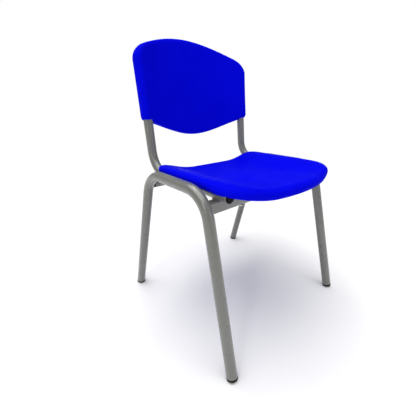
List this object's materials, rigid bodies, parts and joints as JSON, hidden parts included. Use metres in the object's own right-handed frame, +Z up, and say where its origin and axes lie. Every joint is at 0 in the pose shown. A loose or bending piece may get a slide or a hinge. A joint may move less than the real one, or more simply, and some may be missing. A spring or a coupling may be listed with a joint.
{
  "type": "student chair",
  "caption": "Stacking school chair with a dished plastic seat and curved plastic back on a bent steel tube frame with splayed legs.",
  "frame": {"origin": "on the floor, under the middle of the chair's overall length and width", "axes": "+Z up, -Y the way the sitter faces, +X the sitter's left; X = 0 is the plane of symmetry"},
  "size_m": [0.5382, 0.5054, 0.8132],
  "materials": {
    "blue_plastic": "moulded polypropylene, fine grain, satin",
    "grey_paint": "semi-gloss powder coat on steel tube",
    "black_plastic": "moulded polyethylene",
    "zinc_steel": "bright zinc plate"
  },
  "bodies": {
    "root": {"seat_shell": "blue_plastic", "back_shell": "blue_plastic", "front_cross_beam": "grey_paint", "rear_cross_beam": "grey_paint", "leg_frame_left": "grey_paint", "back_upright_left": "grey_paint", "upright_plug_left": "black_plastic", "back_screw_left": "zinc_steel", "foot_glide_front_left": "black_plastic", "foot_glide_rear_left": "black_plastic", "leg_frame_right": "grey_paint", "back_upright_right": "grey_paint", "upright_plug_right": "black_plastic", "back_screw_right": "zinc_steel", "foot_glide_front_right": "black_plastic", "foot_glide_rear_right": "black_plastic", "seat_washer_front_left": "zinc_steel", "seat_screw_front_left": "zinc_steel", "seat_washer_front_right": "zinc_steel", "seat_screw_front_right": "zinc_steel", "seat_washer_rear_left": "zinc_steel", "seat_screw_rear_left": "zinc_steel", "seat_washer_rear_right": "zinc_steel", "seat_screw_rear_right": "zinc_steel"}
  },
  "joints": []
}
